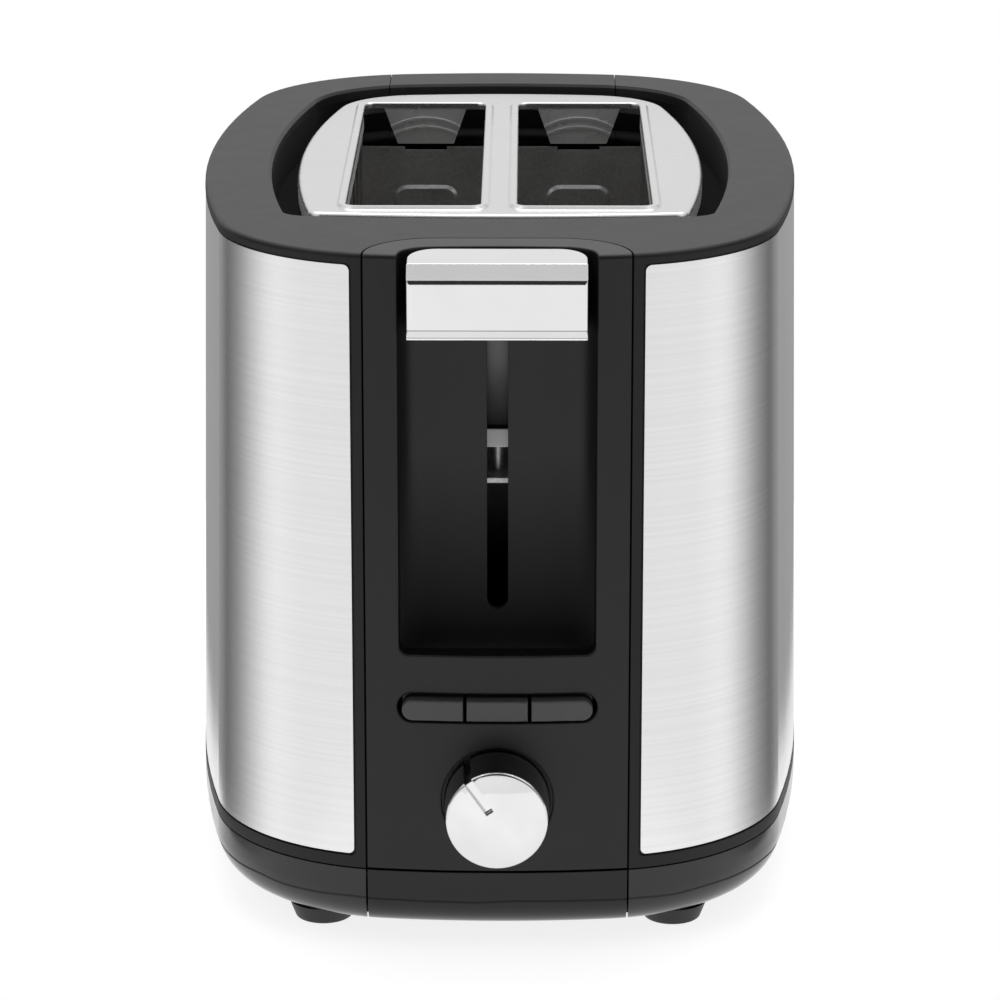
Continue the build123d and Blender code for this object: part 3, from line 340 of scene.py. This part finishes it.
def moulded_plastic(name, colour, roughness, shine=plastic_shine, grain=0.0005, depth=0.00003):
    """Satin moulding with a fine eroded grain and faint flow marks."""
    finish = Finish(name, colour, roughness)
    flow_marks = finish.noise(scales=(22.0, 22.0, 14.0), detail=3.0)
    finish.vary_colour(flow_marks, darker=0.96, lighter=1.05)
    polish = finish.even_noise(scale=160.0)
    finish.vary_roughness(polish, low=roughness - polish_spread, high=roughness + polish_spread)
    finish.relief(finish.even_noise(scale=1 / grain), height=depth)
    finish.fix("Specular IOR Level", shine)
    return finish


def ring_plastic(name):
    """Satin moulding, rough inside the well, where painted shade darkens its colour to near
    black.
    """
    finish = moulded_plastic(name, ring_colour, ring_roughness, ring_shine)
    inside = finish.number("LESS_THAN", finish.place("Z"), well_top)
    for axis, centre, half in zip("XY", well_centre, well_half):
        inside = finish.number("MULTIPLY", inside, finish.near(finish.place(axis), centre, half))
    # Painted shade: the colour inside the well is darkened to near black.
    finish.feed("Base Color", finish.mix(inside, finish.fed("Base Color"), well_painted_shade))
    finish.feed("Roughness", finish.number("MAXIMUM", finish.fed("Roughness"), inside))
    return finish


def panel_plastic(name):
    """Satin moulding that grows dull towards the floor of the lever channel."""
    finish = moulded_plastic(name, panel_colour, panel_roughness, panel_shine)
    inside = finish.number("GREATER_THAN", finish.place("Y"), channel_front)
    low = finish.spread(finish.place("Z"), 1.0, panel_roughness, channel_low, channel_high)
    dull = finish.number("MULTIPLY", inside, low)
    finish.feed("Roughness", finish.number("MAXIMUM", finish.fed("Roughness"), dull))
    return finish


def gloss_plastic(name, colour, shine):
    """Polished moulding with a slight waviness and a dull line round it."""
    finish = Finish(name, colour, roughness=0.14)
    waves = finish.noise(scales=(45.0, 45.0, 0.0), detail=1.0)
    wander = finish.spread(waves, -line_wander, line_wander)
    height = finish.number("ADD", finish.place("Z"), wander)
    line = finish.near(height, line_height, line_half_width)
    dull = finish.number("MULTIPLY", line, line_roughness)
    polish = finish.spread(finish.even_noise(scale=90.0, detail=3.0), low=0.11, high=0.17)
    finish.feed("Roughness", finish.number("MAXIMUM", polish, dull))
    finish.vary_colour(finish.even_noise(scale=30.0), darker=0.9, lighter=1.15)
    finish.relief(finish.noise(scales=(60.0, 60.0, 90.0), detail=1.0), height=0.00006)
    finish.fix("Specular IOR Level", shine)
    return finish


def brushed_steel(name, colour):
    """Sheet brushed round the body: fine level lines that spread reflections upright."""
    finish = Finish(name, colour, roughness=0.22, metallic=1.0)
    streaks = finish.noise(scales=(3.0, 3.0, 1300.0), detail=3.0)
    finish.vary_colour(streaks, darker=0.97, lighter=1.02)
    finish.vary_roughness(finish.noise(scales=(20.0, 20.0, 2400.0)), low=0.21, high=0.24)
    lines = finish.noise(scales=(16.0, 16.0, 3600.0), detail=3.0)
    finish.relief(lines, height=0.000003, radius=None)
    finish.fix("Anisotropic", brush_anisotropy)
    finish.fix("Anisotropic Rotation", brush_turn)
    tangent = finish.add("ShaderNodeTangent", direction_type="RADIAL", axis="Z")
    finish.feed("Tangent", tangent.outputs["Tangent"])
    return finish


def satin_sheet(name, colour, roughness):
    """Satin sheet with faint clouds, and painted light on the tabs turned down under the top: a
    paler, less metallic colour.
    """
    finish = Finish(name, colour, roughness, metallic=1.0)
    start, end = plate_under - tab_blur, plate_under + tab_blur
    turned_down = finish.spread(finish.place("Z"), 1.0, 0.0, start, end)
    top = finish.shades(finish.even_noise(scale=30.0), darker=0.985, lighter=1.015)
    # Painted light on the turned-down tabs: paler colour and less metal.
    finish.feed("Base Color", finish.mix(turned_down, top, tab_painted_light))
    finish.feed("Metallic", finish.spread(turned_down, 1.0, tab_metallic, 0.0, 1.0))
    polish = finish.even_noise(scale=60.0, detail=3.0)
    finish.vary_roughness(polish, low=roughness - polish_spread, high=roughness + polish_spread)
    return finish


def chrome(name, colour, haze):
    """Bright plating with soft cloudy haze."""
    finish = Finish(name, colour, roughness=0.05, metallic=1.0)
    finish.vary_roughness(finish.even_noise(scale=120.0, detail=3.0), low=0.035, high=0.07)
    finish.vary_colour(finish.even_noise(scale=55.0), darker=1.0 - haze, lighter=1.0 + haze)
    finish.relief(finish.even_noise(scale=300.0, detail=1.0), height=0.000002)
    return finish


def chrome_with_painted_band(name, colour, haze):
    """Bright plating with a painted reflection above the lower edge: a greyer band between two
    painted dark lines of shade.
    """
    finish = chrome(name, colour, haze)
    top = handle_low + painted_band_height
    share = finish.spread(finish.place("Z"), 0.0, 1.0, handle_low, top)
    # Painted greyer reflection band and dark shade lines over the chrome's colour.
    painted_band = finish.ramp(share, painted_band_stops)
    finish.feed("Base Color", finish.tint(finish.fed("Base Color"), painted_band))
    return finish


def rolled_sheet(name, colour, roughness):
    """Metal sheet with uneven polish and faint upright roller lines."""
    finish = Finish(name, colour, roughness, metallic=1.0)
    polish = finish.even_noise(scale=90.0, detail=3.0)
    finish.vary_roughness(polish, low=roughness - roll_spread, high=roughness + roll_spread)
    finish.relief(finish.noise(scales=(900.0, 900.0, 80.0)), height=0.000006)
    return finish


def carriage_sheet(name):
    """Oiled dark sheet, paled towards its top by a painted reflection, with painted light on the
    lip along its lower edge: near white and less metallic.
    """
    finish = rolled_sheet(name, carriage_colour, roughness=0.42)
    height = finish.place("Z")
    rise = finish.spread(height, 0.0, 1.0, lip_top, carriage_top)
    # Painted reflection paling the sheet towards its top, and painted light on the lip.
    strip = finish.mix(rise, carriage_colour, carriage_painted_reflection)
    lip = finish.spread(height, 1.0, 0.0, lip_top - lip_blur, lip_top + lip_blur)
    finish.feed("Base Color", finish.mix(lip, strip, lip_painted_light))
    finish.feed("Metallic", finish.spread(lip, 1.0, lip_metallic, 0.0, 1.0))
    return finish


def plain_sheet(name, colour):
    """Plated sheet with a fine spangle."""
    finish = rolled_sheet(name, colour, roughness=0.40)
    finish.vary_colour(finish.cells(scale=1500.0), darker=0.93, lighter=1.06)
    return finish


def drawn_wire(name, colour):
    finish = Finish(name, colour, roughness=0.32, metallic=1.0)
    finish.vary_colour(finish.noise(scales=(500.0, 500.0, 30.0)), darker=0.88, lighter=1.06)
    finish.vary_roughness(finish.even_noise(scale=200.0), low=0.26, high=0.42)
    finish.relief(finish.noise(scales=(900.0, 900.0, 90.0)), height=0.00001)
    return finish


def heating_ribbon(name, colour):
    """Resistance ribbon with heat tint."""
    finish = Finish(name, colour, roughness=0.45, metallic=1.0)
    heat = finish.noise(scales=(40.0, 60.0, 300.0), detail=3.0)
    finish.vary_colour(heat, darker=0.6, lighter=1.25)
    finish.vary_roughness(finish.even_noise(scale=150.0), low=0.38, high=0.55)
    finish.relief(finish.noise(scales=(800.0, 60.0, 800.0)), height=0.00001)
    return finish


def mica_sheet(name, colour):
    """Pressed mica: flakes of many tones with a pearly face."""
    finish = Finish(name, colour, roughness=0.38)
    finish.vary_colour(finish.cells(scale=400.0), darker=0.85, lighter=1.15)
    finish.vary_roughness(finish.even_noise(scale=180.0), low=0.30, high=0.48)
    finish.relief(finish.even_noise(scale=500.0, detail=3.0), height=0.00002)
    finish.fix("Sheen Weight", mica_sheen)
    return finish


def wound_copper(name, colour):
    """Enamelled wire laid in level turns."""
    finish = Finish(name, colour, roughness=0.30, metallic=1.0)
    wave = finish.add("ShaderNodeTexWave", bands_direction="Z")
    finish.link(finish.places, wave.inputs["Vector"])
    wave.inputs["Scale"].default_value = copper_turns
    turns = wave.outputs["Fac"]
    finish.vary_colour(turns, darker=0.55, lighter=1.1)
    finish.vary_roughness(finish.even_noise(scale=200.0), low=0.24, high=0.38)
    finish.relief(turns, height=0.0001, radius=None)
    return finish


def dress(finish, *nodes):
    """Give CAD nodes a finish."""
    for node in nodes:
        slots = frame["nodes"][node].data.materials
        slots.clear()
        slots.append(finish.material)


def shade_by_faces(node):
    """Shading normals from the faces, because the domed face has a bad one at its centre."""
    stack = frame["nodes"][node].modifiers
    weld = stack.new("one_skin", "WELD")
    weld.merge_threshold = weld_distance
    split = stack.new("sharp_edges", "EDGE_SPLIT")
    split.split_angle = sharp_angle
    stack.new("face_normals", "WEIGHTED_NORMAL")


def dress_outside():
    dress(ring_plastic("ring_plastic"), "housing", "back_panel")
    dress(panel_plastic("panel_plastic"), "front_panel")
    dress(gloss_plastic("base_plastic", base_colour, base_shine), "base", "tray_handle")
    dress(gloss_plastic("skirt_plastic", base_colour, skirt_shine), "front_skirt")
    steel = brushed_steel("side_steel", side_steel_colour)
    dress(steel, "left_steel_panel", "right_steel_panel")
    dress(satin_sheet("plate_metal", plate_colour, plate_roughness), "slot_plate")
    dress(chrome_with_painted_band("lever_chrome", lever_chrome_colour, lever_haze), "lever_handle")
    dress(chrome("knob_chrome", knob_chrome_colour, knob_haze), "browning_knob")
    satin = moulded_plastic(
        "button_plastic", button_colour, button_roughness, grain=0.0008, depth=0.00004)
    dress(satin, "left_button", "middle_button", "right_button")
    rubber = moulded_plastic(
        "foot_rubber", rubber_colour, rubber_roughness, grain=0.0006, depth=0.00005)
    corners = ("front_left", "front_right", "rear_left", "rear_right")
    dress(rubber, "cord_gland", *[corner + "_foot" for corner in corners])


def dress_inside():
    sides = ("left", "right")
    boards = ("left", "centre", "right")
    racks = [side + "_bread_rack" for side in sides]
    reflectors = [side + "_reflector" for side in sides]
    # Painted light and shade: lit and shaded greys of one plated steel.
    sheet = plain_sheet("chassis_steel", chassis_colour)
    dress(sheet, "rod_bridge", "magnet_yoke", "crumb_tray", *reflectors, *racks)
    dress(plain_sheet("rear_chassis_steel", rear_chassis_colour), "rear_chassis")
    dress(plain_sheet("front_chassis_steel", front_chassis_colour), "front_chassis")
    dress(plain_sheet("armature_steel", armature_colour), "armature")
    dress(carriage_sheet("carriage_steel"), "carriage_plate")
    pieces = ("_bread_guard", "_guide_rod", "_lift_spring")
    wires = [side + piece for side in sides for piece in pieces]
    screws = [place + "_screws" for place in ("base", "board", "yoke")]
    dress(drawn_wire("wire_steel", wire_colour), "knob_shaft", *wires, *screws)
    dress(mica_sheet("mica", mica_colour), *[board + "_heater_board" for board in boards])
    ribbon = heating_ribbon("heating_ribbon", ribbon_colour)
    dress(ribbon, *[board + "_heater_winding" for board in boards])
    laminate = moulded_plastic("board_laminate", laminate_colour, roughness=0.40)
    dress(laminate, "control_board")
    black = moulded_plastic("switch_plastic", switch_colour, roughness=0.42)
    dress(black, "key_switches", "mains_switch", "browning_control")
    dress(wound_copper("coil_copper", copper_colour), "magnet_coil")
    nylon = moulded_plastic("bush_plastic", nylon_colour, roughness=0.45)
    dress(nylon, *[side + "_guide_bush" for side in sides])


def squeeze_springs():
    """Copy the coils that shorten under the carriage as the lever goes down into meshes of their
    own, attached to the body, and hide the CAD nodes.
    """
    lever = next(joint for joint in frame["joints"] if joint["name"] == "lever")
    for deforming in lever["deforming_nodes"]:
        node = deforming["node"]
        coil = bpy.data.objects.new(node + "_coil", frame["nodes"][node].data.copy())
        scene.collection.objects.link(coil)
        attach(coil, "body")
        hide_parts(node)
        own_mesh(coil)


def make_floor():
    mesh = bpy.data.meshes.new("floor")
    left, right = -floor_half_width, floor_half_width
    near_corners = [(left, floor_front, 0), (right, floor_front, 0)]
    far_corners = [(right, floor_back, 0), (left, floor_back, 0)]
    mesh.from_pydata(near_corners + far_corners, [], [(0, 1, 2, 3)])
    floor = bpy.data.objects.new("floor", mesh)
    scene.collection.objects.link(floor)
    finish = Finish("floor_paper", floor_colour, floor_roughness)
    finish.vary_colour(finish.even_noise(scale=3.0), darker=0.995, lighter=1.005)
    finish.fix("Emission Color", glow_colour)
    finish.fix("Emission Strength", floor_glow)
    mesh.materials.append(finish.material)


def make_sky():
    """White table and backdrop, dark room in front and at the rear sides, bright ceiling."""
    world = bpy.data.worlds.new("studio")
    world.use_nodes = True
    scene.world = world
    sky = Nodes(world.node_tree)
    direction = sky.add("ShaderNodeTexCoord").outputs["Generated"]
    level = sky.vector("NORMALIZE", sky.vector("MULTIPLY", direction, (1.0, 1.0, 0.0)))
    turn = sky.spread(sky.along(level, "Y"), 0.0, 1.0, -1.0, 1.0)
    height = sky.along(direction, "Z")
    ahead = sky.spread(sky.along(direction, "Y"), front_lift, 0.0, -1.0, 0.0)
    in_front = sky.spread(turn, 1.0, 0.0, lift_full, lift_gone)
    lowered = sky.number("SUBTRACT", height, sky.number("MULTIPLY", ahead, in_front))
    overhead = sky.spread(lowered, 0.0, 1.0, overhead_low, overhead_high)
    above_horizon = sky.spread(height, 0.0, 1.0, -horizon_blur, horizon_blur)
    walls = sky.mix(above_horizon, sky.ramp(turn, table_light), sky.ramp(turn, room_light))
    studio = sky.mix(overhead, walls, sky.ramp(height, overhead_light))
    camera_ray = sky.add("ShaderNodeLightPath").outputs["Is Camera Ray"]
    seen = sky.mix(camera_ray, studio, backdrop_colour)
    sky.link(seen, sky.tree.nodes["Background"].inputs["Color"])


def make_softbox():
    """A wide lamp overhead, a little behind the toaster."""
    light = bpy.data.lights.new("softbox", "AREA")
    light.energy = softbox_power
    light.shape = "RECTANGLE"
    light.size = softbox_width
    light.size_y = softbox_depth
    lamp = bpy.data.objects.new("softbox", light)
    lamp.location = softbox_place
    scene.collection.objects.link(lamp)


def make_camera():
    data = bpy.data.cameras.new("camera")
    data.sensor_width = sensor_width
    data.lens = camera_lens
    camera = bpy.data.objects.new("camera", data)
    camera.location = camera_place
    camera.rotation_euler = (math.pi / 2 - camera_pitch, 0.0, camera_yaw)
    scene.collection.objects.link(camera)
    scene.camera = camera


dress_outside()
dress_inside()
shade_by_faces("browning_knob")
squeeze_springs()
make_floor()
make_sky()
make_softbox()
make_camera()
scene.view_settings.view_transform = "Standard"
